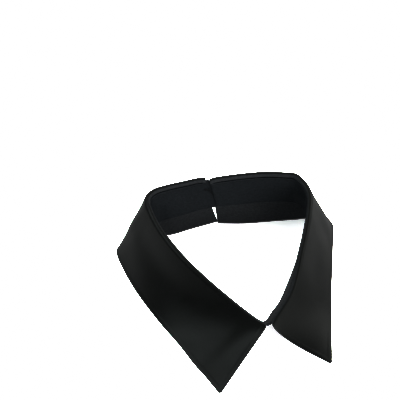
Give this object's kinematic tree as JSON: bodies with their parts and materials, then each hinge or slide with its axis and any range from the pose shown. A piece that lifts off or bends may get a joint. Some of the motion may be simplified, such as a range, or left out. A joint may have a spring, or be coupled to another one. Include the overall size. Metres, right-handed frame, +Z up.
{
  "type": "detachable shirt collar",
  "caption": "Black detachable shirt collar with long points, a neck band that closes at the back and two falls turned down over it, standing on the lower edge of its falls.",
  "frame": {"origin": "middle of the footprint, on the surface the collar stands on", "axes": "+Z up; +X to the right as seen from the points; the points look along -Y and the closure is at the back, towards +Y"},
  "size_m": [0.1742, 0.1684, 0.0521],
  "materials": {
    "stand": "fine plain weave, soft sheen",
    "fall_left": "fine plain weave, soft sheen",
    "fall_right": "fine plain weave, soft sheen",
    "button": "satin"
  },
  "bodies": {
    "root": {"stand": "stand", "fall_left": "fall_left", "fall_right": "fall_right", "button": "button"}
  },
  "joints": []
}
